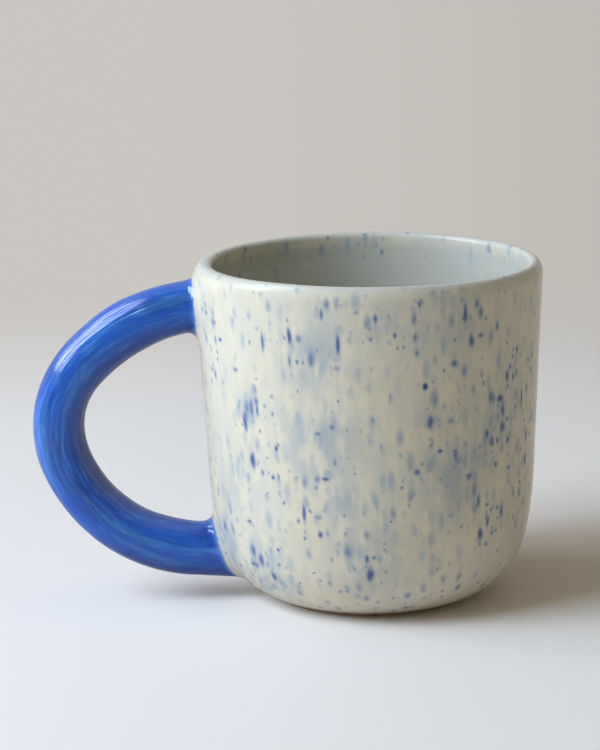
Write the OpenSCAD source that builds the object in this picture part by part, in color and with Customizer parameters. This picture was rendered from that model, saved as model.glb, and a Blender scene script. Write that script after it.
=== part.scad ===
// A thrown stoneware mug with a round coil handle, under speckled and cobalt glazes.
// Millimetres. The origin is the centre of the foot, +Z runs up the mug's axis and the handle is along -X.

/* [Cup] */
// Height from the table to the crest of the lip
height = 86; // [80:1:100]
// Outside diameter of the wall, taken at the height of the lip
rim_d = 88; // [80:1:100]
// Outward lean of the wall, in degrees from the vertical
wall_lean = 2.84; // [1:0.01:5]
// Thickness of the wall, clay and glaze together
wall_t = 3.4; // [2.8:0.1:4.6]
// Height of the inside floor above the table
floor_z = 6; // [4:0.5:9]
// Radius inside the cup, where the wall turns into the floor
well_r = 18; // [10:0.5:24]
// Radius of the round heel above the foot
heel_r = 19.8; // [16:0.1:23]
// Radius of the slow swell of the flank above the heel
flank_r = 88; // [60:1:120]
// Slope of the surface where heel and flank meet, in degrees from the vertical
flank_join = 13; // [9:0.5:17]

/* [Lip] */
// Radius of the lip's outer rounding
lip_out_r = 4; // [3:0.1:6]
// Radius of the lip's inner rounding
lip_in_r = 1.3; // [0.8:0.1:1.4]
// How far down inside the lip the outside coat laps over
lap_depth = 7; // [5:0.5:20]

/* [Foot] */
// Outside diameter of the bare foot ring
foot_d = 50; // [44:1:60]
// Width of the foot ring
foot_w = 5.5; // [3:0.5:10]
// Depth of the trimmed hollow inside the foot ring
foot_hollow = 1.2; // [0.6:0.1:2.5]

/* [Handle] */
// Diameter of the handle, glaze included
handle_d = 13.1; // [10:0.1:15]
// How far the handle stands out from the wall at its upper root
handle_reach = 42.3; // [36:0.1:50]
// Depth of the upper root's axis below the crest of the lip
upper_drop = 10.1; // [8.5:0.1:16]
// Height of the lower root's axis on the wall
lower_root_z = 11.6; // [10.5:0.1:18]
// Fall of the handle as it leaves the wall at the upper root, in degrees
upper_lean = 10.4; // [0:0.1:18]
// Fall of the handle where the shoulder bend runs into the bow, in degrees
shoulder_lean = 45; // [38:0.5:52]
// Fall of the handle where the bow runs into the belly bend, in degrees
bow_lean = 112.5; // [104:0.5:122]
// Fall of the handle as it comes back to the wall at the lower root, in degrees
lower_lean = 5; // [0:0.1:10]
// Straight length at the upper root, before the shoulder bend
upper_straight = 4.9; // [4.4:0.1:7]
// Straight length at the lower root, after the belly bend
lower_straight = 8; // [6.5:0.1:11]

/* [Joints] */
// Length of the upper joint's collar along the handle
upper_collar = 4.2; // [3:0.1:4.8]
// Length of the lower joint's collar along the handle
lower_collar = 6.2; // [5:0.1:7.8]
// Spread of the worked clay over the wall, on the side of the loop
collar_loop_spread = 4.5; // [2:0.1:7]
// Spread of the worked clay over the wall, on the side away from the loop
collar_out_spread = 1.2; // [0.6:0.1:2]
// How steeply the worked clay runs out on the wall, as rise over spread
collar_run_out = 0.3; // [0.2:0.05:0.5]
// Thickness of the slip between the coil's cut end and the wall
slip_t = 0.5; // [0.3:0.1:1]

/* [Glaze] */
// Thickness of each glaze coat
glaze_t = 0.4; // [0.3:0.05:0.6]

/* [Hidden] */
$fn = 180;

clay = "tan";
cream = "ivory";
grey_cream = "gainsboro";
cobalt = "royalblue";
joint_blue = "cornflowerblue";

// Largest turn between two points of an arc, in degrees
arc_step = 3;
function along(angle) = [cos(angle), sin(angle)];

// Outer wall: a straight line leaning out to the lip, given by its radius at a height
lean_cos = cos(wall_lean);
lean_tan = tan(wall_lean);
function wall_line(z) = rim_d / 2 - (height - z) * lean_tan;

// Flank and heel: two arcs, tangent to the wall, to each other and to the table
heel_to_flank = flank_r - heel_r;
flank_z = heel_r + heel_to_flank * sin(flank_join);
flank_c = [wall_line(flank_z) - flank_r / lean_cos, flank_z];
heel_c = flank_c + heel_to_flank * [cos(flank_join), -sin(flank_join)];
heel_top = heel_c.y - heel_r * sin(flank_join);
flank_top = flank_c.y - flank_r * sin(wall_lean);

// Lip: a small arc at the inner edge, inside a larger outer one that it touches
lip_in_c = [wall_line(height - lip_in_r) - (wall_t - lip_in_r) / lean_cos, height - lip_in_r];
lip_gap = lip_out_r - lip_in_r;
lip_offset = (lip_out_r + lip_in_r - wall_t) / lean_cos;
lip_root = sqrt(lip_gap * lip_gap - pow(lip_offset * lean_cos, 2));
lip_fall = (lip_root / lean_cos - lip_offset * lean_tan) * lean_cos * lean_cos;
lip_out_z = lip_in_c.y - lip_fall;
lip_out_c = [wall_line(lip_out_z) - lip_out_r / lean_cos, lip_out_z];
lip_turn = atan2(lip_in_c.y - lip_out_c.y, lip_in_c.x - lip_out_c.x);

// Inside: a wall parallel to the outer one and one arc into the floor
well_c = [wall_line(floor_z + well_r) - (wall_t + well_r) / lean_cos, floor_z + well_r];

// Foot ring, and the end of the outside coat below the lip
foot_r = foot_d / 2;
lap_z = height - lap_depth;

// Radius of the glazed outside at a height between the foot and the lip
function arc_r(c, r, z) = c.x + sqrt(max(0, r * r - pow(z - c.y, 2)));
function wall_r(z) =
    z < heel_top ? arc_r(heel_c, heel_r, z)
    : z < flank_top ? arc_r(flank_c, flank_r, z)
    : wall_line(z);

// Handle path in its own plane, [radius from the mug's axis, height], with headings in degrees.
// Its three bends turn through the given headings, and their radii are solved so that the
// path starts and ends on the wall and reaches as far out as it should.
upper_root = [wall_r(height - upper_drop), height - upper_drop];
lower_root = [wall_r(lower_root_z), lower_root_z];
handle_r = handle_d / 2;
reach_r = upper_root.x + handle_reach - handle_r;
headings = [-upper_lean, -shoulder_lean, -bow_lean, lower_lean - 180];
function bend_span(a, b) = [sin(a) - sin(b), cos(b) - cos(a)];
upper_run = upper_straight * along(headings[0]);
lower_run = lower_straight * along(headings[3]);
spans = [for (i = [0:2]) bend_span(headings[i], headings[i + 1])];
to_close = lower_root - upper_root - upper_run - lower_run;
to_reach = reach_r - upper_root.x - upper_run.x;
bow_out = sin(headings[1]) + 1;
solve_rows = [
    [spans[0].x, spans[1].x, spans[2].x],
    [spans[0].y, spans[1].y, spans[2].y],
    [spans[0].x, bow_out, 0]
];
solve_goal = [to_close.x, to_close.y, to_reach];
function det3(m) = m[0] * cross(m[1], m[2]);
function with_column(m, k, v) = [for (i = [0:2]) [for (j = [0:2]) j == k ? v[i] : m[i][j]]];
bend_r = [for (k = [0:2]) det3(with_column(solve_rows, k, solve_goal)) / det3(solve_rows)];
bend_start = [
    upper_root + upper_run,
    upper_root + upper_run + bend_r[0] * spans[0],
    upper_root + upper_run + bend_r[0] * spans[0] + bend_r[1] * spans[1]
];
// Step in radius between the lengths of the handle, and how far one enters the next
hair = 0.02;
enter = 0.6;

// Collars: rings of points lofted from the handle's surface out to the wall
collar_sides = 40;
collar_rings = 6;
// Thickness of the collar's edge on the wall
collar_edge_t = 0.05;
// How far the last ring lies in the wall, as a share of the way to the plug's inner end
collar_bury = 0.2;
// Search for the wall along a line beside a root, both ways
seat_search = 2 * handle_d;
seam_steps = 30;
// Radius of the bare clay under a joint, inside the collar's narrowest spread
seat_r = handle_r + collar_out_spread / 2;

// Points along an arc of an outline, from one angle to another, with or without the first one
function arc(c, r, from, to) =
    let (steps = ceil(abs(to - from) / arc_step))
    [for (i = [0:steps]) c + r * along(from + (to - from) * i / steps)];
function arc_on(c, r, from, to) = let (points = arc(c, r, from, to)) [for (i = [1:len(points) - 1]) points[i]];
function reversed(list) = [for (i = [len(list) - 1:-1:0]) list[i]];

// Outside of the cup from a slope on the heel to the lip's outer edge, set in from the glaze
function flank_outline(inset, from) =
    concat(
        arc(heel_c, heel_r - inset, from, -flank_join),
        arc_on(flank_c, flank_r - inset, -flank_join, -wall_lean),
        arc(lip_out_c, lip_out_r - inset, -wall_lean, lip_turn)
    );

// The same over the lip to the top of the inside wall
function wall_outline(inset, from) =
    concat(flank_outline(inset, from), arc_on(lip_in_c, lip_in_r - inset, lip_turn, 180 - wall_lean));

// Inside of the cup from the wall to the middle of the floor, set in from the glaze
function well_outline(inset) =
    concat(arc(well_c, well_r + inset, -wall_lean, -90), [[0, floor_z - inset]]);

// Slope on the heel where the side of the foot ring meets it
function foot_slope(inset) = -acos((foot_r - heel_c.x) / (heel_r - inset));

// Point of the inside wall at the end of the outside coat
function lap_point(inset) = [wall_line(lap_z) - (wall_t - inset) / lean_cos, lap_z];

// Flat section of the clay, with its foot ring and the hollow inside the ring
module clay_section() {
    foot_in = foot_r - foot_w;
    polygon(concat(
        [[foot_in, foot_hollow], [foot_in, 0], [foot_r, 0]],
        wall_outline(glaze_t, foot_slope(glaze_t)),
        well_outline(glaze_t),
        [[0, foot_hollow]]
    ));
}

// Flat section of the coat inside, up to where the outside coat ends
module liner_section() {
    polygon(concat(
        [lap_point(0)],
        well_outline(0),
        reversed(well_outline(glaze_t)),
        [lap_point(glaze_t)]
    ));
}

// Flat section of the coat outside, from the side of the foot ring over the lip
module outer_section() {
    polygon(concat(
        wall_outline(0, foot_slope(0)),
        [lap_point(0), lap_point(glaze_t)],
        reversed(wall_outline(glaze_t, foot_slope(glaze_t)))
    ));
}

// Turns the handle's own plane upright, with the handle along -X
module handle_plane() {
    mirror([1, 0, 0]) rotate([90, 0, 0]) children();
}

// Straight length of round bar, from a start along a heading
module straight_bar(r, from, heading, length) {
    translate([from.x, from.y, 0]) rotate([0, 0, heading]) rotate([0, 90, 0]) cylinder(h = length, r = r);
}

// Length of round bar bent from one heading down to another, with more of the bend before and after
module bent_bar(r, k, before, after) {
    centre = bend_start[k] + bend_r[k] * [sin(headings[k]), -cos(headings[k])];
    more = [before, after] / bend_r[k] * 180 / PI;
    translate([centre.x, centre.y, 0])
        rotate([0, 0, headings[k + 1] + 90 - more[1]])
            rotate_extrude(angle = headings[k] - headings[k + 1] + more[0] + more[1])
                translate([bend_r[k], 0]) circle(r);
}

// Round bar along the handle, starting and ending at a distance out from the two roots.
// The bow is the full size, and each length away from it is a hair finer and enters the one before.
module bar_along_handle(r, upper_out, lower_out) {
    upper_start = upper_root + upper_out * along(headings[0]);
    lower_start = lower_root - lower_run - enter * along(headings[3]);
    straight_bar(r - 2 * hair, upper_start, headings[0], upper_straight - upper_out + enter);
    bent_bar(r - hair, 0, 0, enter);
    bent_bar(r, 1, 0, 0);
    bent_bar(r - hair, 2, enter, 0);
    straight_bar(r - 2 * hair, lower_start, headings[3], enter + lower_straight - lower_out);
}

// The wall's place along a line beside a root: the side of the wall that a point lies on, and a search
function outside(p) = norm([p.x, p.z]) > wall_r(p.y);
function seam(p, out, low, high, steps) =
    let (mid = (low + high) / 2)
    steps == 0 ? mid
    : outside(p + mid * out) ? seam(p, out, low, mid, steps - 1)
    : seam(p, out, mid, high, steps - 1);

// Collar of worked clay round a root, a closed plug that the wall and the coil then cut.
// Each side of it is a curve that leaves the handle along its surface and runs out on the wall.
module collar(root, heading, length, upper_spread, lower_spread) {
    out = [cos(heading), sin(heading), 0];
    up = [-sin(heading), cos(heading), 0];
    across = [0, 0, 1];
    base = [root.x, root.y, 0];
    inside = base - handle_d * out;
    function spread(turn) = lower_spread + (upper_spread - lower_spread) * (1 + cos(turn)) / 2;
    function beside(turn, r) = base + r * (cos(turn) * up + sin(turn) * across);
    function on_wall(turn, r) =
        let (p = beside(turn, r))
        p + seam(p, out, -seat_search, seat_search, seam_steps) * out;
    function side(turn) =
        let (
            start = beside(turn, handle_r) + length * out,
            turn_in = on_wall(turn, handle_r) + collar_run_out * spread(turn) * out,
            end = on_wall(turn, handle_r + spread(turn)) + collar_edge_t * out
        )
        [
            for (i = [0:collar_rings])
                let (t = i / collar_rings)
                pow(1 - t, 2) * start + 2 * t * (1 - t) * turn_in + t * t * end,
            end + collar_bury * (inside - end)
        ];
    sides = [for (k = [0:collar_sides - 1]) side(360 * k / collar_sides)];
    rings = len(sides[0]);
    points = concat([base + length * out, inside], [for (s = sides) each s]);
    function at(k, i) = 2 + (k % collar_sides) * rings + i;
    faces = [
        for (k = [0:collar_sides - 1]) each [
            [0, at(k, 0), at(k + 1, 0)],
            [1, at(k + 1, rings - 1), at(k, rings - 1)],
            for (i = [0:rings - 2]) each [
                [at(k, i), at(k, i + 1), at(k + 1, i)],
                [at(k + 1, i), at(k, i + 1), at(k + 1, i + 1)]
            ]
        ]
    ];
    polyhedron(points, faces);
}

// The filled cup, set in from its glazed outside, which every piece on the wall is cut to
module cup_fill(inset) {
    rotate_extrude() polygon(concat(
        [[0, inset]],
        flank_outline(inset, -90),
        arc_on(lip_in_c, lip_in_r - inset, lip_turn, 90),
        [[0, height - inset]]
    ));
}

// Round window through the outside coat at a root, where the joint sits on bare clay
module seat_window(root, heading) {
    handle_plane() straight_bar(seat_r, root - seat_search * along(heading), heading, 2 * seat_search);
}

// Slip and worked clay at a root: the collar, cut to the coat, the bare clay in its window and the coil
module joint(root, heading, length, upper_spread, lower_spread) {
    difference() {
        handle_plane() collar(root, heading, length, upper_spread, lower_spread);
        difference() {
            cup_fill(0);
            difference() {
                seat_window(root, heading);
                cup_fill(glaze_t);
            }
        }
        coil_solid();
    }
}

// The coil from root to root, its ends cut to the wall with room for the slip
module coil_solid() {
    difference() {
        handle_plane() bar_along_handle(handle_r - glaze_t, -handle_d, -handle_d);
        cup_fill(glaze_t - slip_t);
    }
}

// Thrown and trimmed cup: wall, floor, lip and foot ring
module clay_body() {
    color(clay) rotate_extrude() clay_section();
}

// Rolled coil bent to a loop
module handle_coil() {
    color(clay) coil_solid();
}

// Slip and worked clay at the coil's upper end
module upper_joint() {
    color(joint_blue) joint(upper_root, headings[0], upper_collar, collar_out_spread, collar_loop_spread);
}

// Slip and worked clay at the coil's lower end
module lower_joint() {
    color(joint_blue) joint(lower_root, lower_lean, lower_collar, collar_loop_spread, collar_out_spread);
}

// Coat poured inside the cup
module liner_glaze() {
    color(grey_cream) rotate_extrude() liner_section();
}

// Speckled coat outside, open where the joints sit on the clay
module outer_glaze() {
    color(cream) difference() {
        rotate_extrude() outer_section();
        seat_window(upper_root, headings[0]);
        seat_window(lower_root, lower_lean);
    }
}

// Cobalt coat on the coil, from collar to collar
module handle_glaze() {
    color(cobalt) handle_plane() difference() {
        bar_along_handle(handle_r, upper_collar, lower_collar);
        bar_along_handle(handle_r - glaze_t, 0, 0);
    }
}

clay_body();
handle_coil();
upper_joint();
lower_joint();
liner_glaze();
outer_glaze();
handle_glaze();
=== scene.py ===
import math
import random
from collections import namedtuple

import bmesh
import bpy
from bpy.props import FloatProperty, FloatVectorProperty, IntProperty, PointerProperty
from mathutils import Matrix, Vector, kdtree, noise


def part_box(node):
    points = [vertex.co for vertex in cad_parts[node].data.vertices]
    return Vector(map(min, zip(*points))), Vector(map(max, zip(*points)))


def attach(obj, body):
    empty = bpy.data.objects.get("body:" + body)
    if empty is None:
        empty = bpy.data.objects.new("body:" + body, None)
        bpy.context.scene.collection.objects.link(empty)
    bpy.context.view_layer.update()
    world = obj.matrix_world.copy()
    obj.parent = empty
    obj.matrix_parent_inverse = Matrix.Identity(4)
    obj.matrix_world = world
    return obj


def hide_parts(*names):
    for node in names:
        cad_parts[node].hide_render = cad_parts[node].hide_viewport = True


bl_info = {
    "name": "Speckled Mug",
    "version": (1, 0, 0),
    "blender": (4, 5, 0),
    "location": "View3D > Sidebar > Mug",
    "description": "Dresses a thrown stoneware mug with speckled, liner and cobalt glazes",
    "category": "Object",
}

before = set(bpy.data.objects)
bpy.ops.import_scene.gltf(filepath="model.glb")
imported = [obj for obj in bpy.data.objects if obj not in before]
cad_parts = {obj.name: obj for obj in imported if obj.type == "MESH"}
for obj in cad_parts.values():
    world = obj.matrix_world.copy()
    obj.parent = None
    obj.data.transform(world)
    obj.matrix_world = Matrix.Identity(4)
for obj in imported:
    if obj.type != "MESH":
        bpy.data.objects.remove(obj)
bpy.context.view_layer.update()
CUP_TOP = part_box("outer_glaze")[1]
MM = 0.001
BODY = "root"

# Heading of the side that is seen in front, from +X
FRONT = math.radians(-95)
TOWARD = Vector((math.cos(FRONT), math.sin(FRONT), 0))
# What the camera and the lamps are turned to
MIDDLE = Vector((0, 0, 40 * MM))
# The view's longer side, and how far right of its middle and below it the mug's middle lies, in pixels
VIEW_SIDE = 750
VIEW_SHIFT = Vector((69.86, 63.14))
# Spacing of the points along the outline of a coat's skin, and of its clay side
SKIN_GAP = 1.3 * MM
CLAY_GAP = 4 * MM
# Depth of the relief in the speckled glazes, in the brushed cobalt and in the bare clay
GLAZE_RELIEF = 0.06 * MM
BRUSH_RELIEF = 0.1 * MM
CLAY_RELIEF = 0.1 * MM
# How deep the cobalt coat may dip, so that it still covers the coil
DEEPEST_DIP = 0.28 * MM


# Settings

def length(name, description, default):
    return FloatProperty(name=name, description=description, default=default, unit="LENGTH", precision=5)


def angle(name, description, degrees):
    return FloatProperty(name=name, description=description, default=math.radians(degrees), subtype="ANGLE")


def colour(name, description, default):
    return FloatVectorProperty(
        name=name, description=description, default=default, size=3, min=0, max=1, subtype="COLOR"
    )


def amount(name, description, default):
    return FloatProperty(name=name, description=description, default=default, min=0, max=1, subtype="FACTOR")


def level(name, description, default, **limits):
    return FloatProperty(name=name, description=description, default=default, **limits)


def metres(name, description, default):
    return FloatVectorProperty(
        name=name, description=description, default=default, size=len(default), unit="LENGTH"
    )


def whole(name, description, default, least):
    return IntProperty(name=name, description=description, default=default, min=least)


class MugCupSettings(bpy.types.PropertyGroup):
    """Sizes of the thrown cup"""

    height: length("Height", "From the table to the crest of the lip", CUP_TOP.z)
    rim_radius: length("Rim Radius", "Radius of the wall's line at the height of the lip", 44 * MM)
    wall_lean: angle("Wall Lean", "Outward lean of the wall", 2.84)
    wall_thickness: length("Wall Thickness", "Clay and glaze together", 3.4 * MM)
    floor_height: length("Floor Height", "Inside floor above the table", 6 * MM)
    well_radius: length("Well Radius", "Where the wall turns into the floor inside", 18 * MM)
    heel_radius: length("Heel Radius", "Round heel above the foot", 19.8 * MM)
    flank_radius: length("Flank Radius", "Slow swell above the heel", 88 * MM)
    flank_join: angle("Flank Join", "Slope where heel and flank meet", 13)
    lip_outer: length("Lip Outer Radius", "Outer rounding of the lip", 4 * MM)
    lip_inner: length("Lip Inner Radius", "Inner rounding of the lip", 1.3 * MM)
    lap: length("Lap", "How far the outside coat laps down inside the lip", 7 * MM)
    foot_radius: length("Foot Radius", "Outside of the bare foot ring", 25 * MM)
    glaze: length("Glaze", "Thickness of a glaze coat", 0.4 * MM)
    unevenness: length("Unevenness", "How far the thrown wall strays from round", 0.12 * MM)
    ring_depth: length("Throwing Rings", "Depth of the finger rings outside", 0.02 * MM)
    ring_depth_inside: length("Inside Rings", "Depth of the finger rings inside", 0.07 * MM)
    ring_pitch: length("Ring Pitch", "Rise of the finger rings in a turn", 5.2 * MM)
    segments: whole("Segments", "Steps of the turn about the axis", 256, 32)


class MugHandleSettings(bpy.types.PropertyGroup):
    """Sizes of the coil handle and of its joints"""

    radius: length("Radius", "Half the handle's thickness, glaze included", 6.55 * MM)
    unevenness: length("Unevenness", "How far the rolled coil strays from round", 0.15 * MM)
    upper_collar: length("Upper Collar", "Length of the upper joint along the handle", 4.2 * MM)
    lower_collar: length("Lower Collar", "Length of the lower joint along the handle", 6.2 * MM)
    sides: whole("Sides", "Points round the handle", 64, 16)


class MugGlazeSettings(bpy.types.PropertyGroup):
    """Colours of the glazes and of the clay"""

    cream: colour("Cream", "Outside coat", (0.715, 0.643, 0.48))
    cream_cool: colour("Cool Cream", "Outside coat where it lies thin", (0.675, 0.625, 0.505))
    # The lip's colour is painted light: a bluish tint for the reflection of the light above along the crest,
    # toned darker against the direct light on the lip's top
    lip_sheen_and_shade: colour("Lip Cream", "Outside coat where it thins on the lip", (0.61, 0.585, 0.515))
    liner: colour("Liner", "Inside coat", (0.52, 0.50, 0.42))
    liner_cool: colour("Cool Liner", "Inside coat where it lies thin", (0.497, 0.492, 0.434))
    smear: colour("Smear", "Broad haze of pigment", (0.40, 0.435, 0.45))
    run: colour("Run", "Pale runs of pigment", (0.305, 0.375, 0.46))
    speck: colour("Speck", "Crisp pigment specks", (0.042, 0.050, 0.228))
    speck_pale: colour("Pale Speck", "Washed-out pigment specks", (0.235, 0.29, 0.395))
    # Deep cobalt is where the glaze pools at random, and also the painted shade on the handle's loop side and
    # underside
    cobalt_pool_and_shade: colour("Deep Cobalt", "Handle where the glaze pools", (0.004, 0.020, 0.14))
    cobalt: colour("Cobalt", "Handle", (0.015, 0.100, 0.49))
    # Pale cobalt is where the brush left the glaze thin, and also paints the window's reflection in the
    # fillet along each joint's seam
    cobalt_thin_and_seam_sheen: colour("Pale Cobalt", "Handle where the brush left it thin", (0.055, 0.195, 0.55))
    clay: colour("Clay", "Bare fired clay", (0.42, 0.29, 0.19))
    clay_dark: colour("Dark Clay", "Grog in the bare clay", (0.25, 0.16, 0.10))
    cream_ior: level("Cream IOR", "How strongly the cream mirrors", 1.3, min=1, max=3)
    cobalt_ior: level("Cobalt IOR", "How strongly the cobalt mirrors", 1.64, min=1, max=3)
    gloss: amount("Roughness", "Roughness of the glazes", 0.13)


class MugStageSettings(bpy.types.PropertyGroup):
    """Floor, light and camera"""

    floor: colour("Floor", "Near floor", (0.885, 0.83, 0.80))
    backdrop: colour("Backdrop", "Far floor and surroundings, towards the window", (0.595, 0.568, 0.533))
    backdrop_shade: colour(
        "Backdrop Shade", "Far floor and surroundings, away from the window", (0.515, 0.487, 0.452)
    )
    room: colour("Room", "What the glazes mirror of the room in front", (0.16, 0.15, 0.14))
    fill: colour("Fill", "Warm light of the room", (1.0, 0.90, 0.62))
    fill_strength: level("Fill Strength", "Level of the room's light", 0.236)
    window: colour("Window", "The window's glint on the glazes", (0.85, 0.95, 1.0))
    window_power: level("Window Power", "Watts of the window's glint", 12.5)
    window_size: metres("Window Size", "Width and height", (0.55, 0.85))
    window_place: metres("Window Place", "Centre of the window", (-0.777, 0.041, 0.778))
    left: colour("Left", "Soft light from the window's side", (0.73, 0.83, 1.0))
    left_power: level("Left Power", "Watts of the light from the window's side", 7.5)
    left_size: metres("Left Size", "Width and height", (0.8, 0.7))
    left_place: metres("Left Place", "Centre of the light from the window's side", (-0.964, 0.118, 0.516))
    front: colour("Front", "Soft light from beside the camera", (0.67, 0.82, 1.0))
    front_power: level("Front Power", "Watts of the front light", 11.2)
    front_size: metres("Front Size", "Width and height", (0.6, 0.7))
    front_place: metres("Front Place", "Centre of the front light", (-0.787, -0.302, 0.707))
    camera_distance: length("Camera Distance", "From the mug's middle", 0.75)
    camera_height: angle("Camera Height", "Elevation of the view", 13.42)
    camera_roll: angle("Camera Roll", "Roll of the view", -1.203)
    camera_focal: level("Focal Length", "In pixels of the view", 2939.0)


# Outline of the cup

def arc(centre, radius, start, end, gap):
    """Points along an arc, no further apart than the gap"""
    steps = max(2, math.ceil(abs(end - start) * radius / gap))
    turns = [start + (end - start) * i / steps for i in range(steps + 1)]
    return [centre + radius * Vector((math.cos(t), math.sin(t))) for t in turns]


def spaced(points, gap):
    """The same line with points added where two lie further apart than the gap"""
    line = [points[0]]
    for a, b in zip(points, points[1:]):
        steps = max(1, math.ceil((b - a).length / gap))
        line += [a.lerp(b, i / steps) for i in range(1, steps + 1)]
    return line


class CupLines:
    """The arcs and lines of the wall, the lip and the well, as radius and height"""

    def __init__(self, cup):
        self.cup = cup
        self.lean = lean = cup.wall_lean
        self.join = join = cup.flank_join
        step = cup.flank_radius - cup.heel_radius
        flank_z = cup.heel_radius + step * math.sin(join)
        self.flank = Vector((self.wall_line(flank_z) - cup.flank_radius / math.cos(lean), flank_z))
        self.heel = self.flank + step * Vector((math.cos(join), -math.sin(join)))
        lip_in_z = cup.height - cup.lip_inner
        lip_in_set = (cup.wall_thickness - cup.lip_inner) / math.cos(lean)
        self.lip_in = Vector((self.wall_line(lip_in_z) - lip_in_set, lip_in_z))
        gap = cup.lip_outer - cup.lip_inner
        across = cup.lip_outer + cup.lip_inner - cup.wall_thickness
        fall = math.sqrt(gap * gap - across * across) * math.cos(lean) - across * math.sin(lean)
        lip_out_z = lip_in_z - fall
        self.lip_out = Vector((self.wall_line(lip_out_z) - cup.lip_outer / math.cos(lean), lip_out_z))
        way = self.lip_in - self.lip_out
        self.lip_turn = math.atan2(way.y, way.x)
        well_z = cup.floor_height + cup.well_radius
        well_set = (cup.wall_thickness + cup.well_radius) / math.cos(lean)
        self.well = Vector((self.wall_line(well_z) - well_set, well_z))
        self.lap_z = cup.height - cup.lap

    def wall_line(self, z):
        return self.cup.rim_radius - (self.cup.height - z) * math.tan(self.lean)

    def wall_radius(self, z):
        """Radius of the glazed outside at a height"""
        cup = self.cup
        if z < self.heel.y - cup.heel_radius * math.sin(self.join):
            return self.heel.x + math.sqrt(max(0, cup.heel_radius**2 - (z - self.heel.y) ** 2))
        if z < self.flank.y - cup.flank_radius * math.sin(self.lean):
            return self.flank.x + math.sqrt(max(0, cup.flank_radius**2 - (z - self.flank.y) ** 2))
        if z < self.lip_out.y - cup.lip_outer * math.sin(self.lean):
            return self.wall_line(z)
        return self.lip_out.x + math.sqrt(max(0, cup.lip_outer**2 - (z - self.lip_out.y) ** 2))

    def lap_point(self, inset):
        across = (self.cup.wall_thickness - inset) / math.cos(self.lean)
        return Vector((self.wall_line(self.lap_z) - across, self.lap_z))

    def outside(self, inset, gap):
        """From the foot ring's side up the wall, over the lip and down to the end of the lap"""
        cup = self.cup
        heel_r = cup.heel_radius - inset
        foot_slope = -math.acos((cup.foot_radius - self.heel.x) / heel_r)
        return spaced(
            arc(self.heel, heel_r, foot_slope, -self.join, gap)
            + arc(self.flank, cup.flank_radius - inset, -self.join, -self.lean, gap)[1:]
            + arc(self.lip_out, cup.lip_outer - inset, -self.lean, self.lip_turn, gap / 3)
            + arc(self.lip_in, cup.lip_inner - inset, self.lip_turn, math.pi - self.lean, gap / 4)[1:]
            + [self.lap_point(inset)],
            gap,
        )

    def inside(self, inset, gap):
        """From the end of the lap down the wall and over the floor to the axis"""
        cup = self.cup
        return spaced(
            [self.lap_point(inset)]
            + arc(self.well, cup.well_radius + inset, -self.lean, -math.pi / 2, gap)
            + [Vector((0, cup.floor_height - inset))],
            gap,
        )


# Path of the handle, as distance from the cup's axis and height

UPPER_ROOT = Vector((43.499, 75.9)) * MM
UPPER_LEAN = math.radians(-10.4)
LOWER_LEAN = math.radians(5)
UPPER_STRAIGHT = 4.9 * MM
LOWER_STRAIGHT = 8 * MM
# Each bend turns down from the heading before it to its own, at its own radius
BENDS = (
    (math.radians(-45), 44.859 * MM),
    (math.radians(-112.5), 24.952 * MM),
    (math.radians(-175), 37.691 * MM),
)


def heading_vector(heading):
    return Vector((math.cos(heading), math.sin(heading)))


def handle_place(s):
    """Point and heading at a distance along the handle's path from its upper root"""
    place, heading = UPPER_ROOT.copy(), UPPER_LEAN
    if s <= UPPER_STRAIGHT:
        return place + s * heading_vector(heading), heading
    place += UPPER_STRAIGHT * heading_vector(heading)
    s -= UPPER_STRAIGHT
    for end, radius in BENDS:
        turn = min(s / radius, heading - end)
        centre = place + radius * heading_vector(heading - math.pi / 2)
        heading -= turn
        place = centre + radius * heading_vector(heading + math.pi / 2)
        s -= turn * radius
        if heading > end + 1e-9:
            return place, heading
    return place + s * heading_vector(heading), heading


def handle_length():
    starts = [UPPER_LEAN] + [end for end, radius in BENDS]
    bends = sum(radius * (start - end) for start, (end, radius) in zip(starts, BENDS))
    return UPPER_STRAIGHT + bends + LOWER_STRAIGHT


def upright(v):
    """A point or a direction of the handle's plane in space, with the handle along -X"""
    return Vector((-v.x, 0, v.y))


# Hand of the maker: what strays from the exact form

def wander(p, reach, seed):
    """Smooth unevenness between -1 and 1, over a reach"""
    return noise.noise(p / reach + Vector((seed, 2.7 * seed, -seed)))


def thrown(cup, p, rings):
    """How far the thrown wall stands proud of its line"""
    turn = math.atan2(p.y, p.x) / (2 * math.pi)
    ring = math.sin(2 * math.pi * (p.z / cup.ring_pitch + turn)) * (0.6 + 0.4 * wander(p, 14 * MM, 3))
    return cup.unevenness * (0.5 + 0.5 * wander(p, 26 * MM, 1)) + rings * (0.5 + 0.5 * ring)


def held(t):
    """A share, held between 0 and 1"""
    return min(1, max(0, t))


def smooth(t):
    """Eases a share between 0 and 1"""
    t = held(t)
    return t * t * (3 - 2 * t)


def between(table, x):
    """A table's values at a place between two of its rows"""
    for a, b in zip(table, table[1:]):
        if x <= b[0]:
            break
    share = smooth((x - a[0]) / (b[0] - a[0]))
    return [MM * (p + (q - p) * share) for p, q in zip(a[1:], b[1:])]


# How the lip strays from level and even: angle from the front, rise, and thickness added inside
RIM = (
    (-180, 0.0, 0.0), (-135, 0.0, 0.5), (-90, 0.2, 1.25), (-60, 0.5, 0.8), (-30, 0.7, 0.3), (0, 0.6, 0.0),
    (14, 0.45, 0.0), (28, 0.1, 0.0), (50, -0.25, 0.0), (90, -0.35, 0.0), (135, -0.3, 0.0), (180, 0.0, 0.0),
)


def stray(lines, p):
    """Moves a point near the lip as the rim strays"""
    cup, wide = lines.cup, p.xy.length
    if wide < 1 * MM:
        return
    rise, thick = between(RIM, front_angle(p))
    within = smooth((lines.wall_line(p.z) - wide) / cup.wall_thickness)
    fade = smooth((p.z - cup.height) / (26 * MM) + 1)
    p.z += rise * smooth((p.z - cup.height) / (14 * MM) + 1)
    p.xy *= 1 - thick * within * fade / wide


# Angle from the front in degrees, height, half width and half height in millimetres, strength
Drip = namedtuple("Drip", "turn z wide tall dark")
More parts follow.
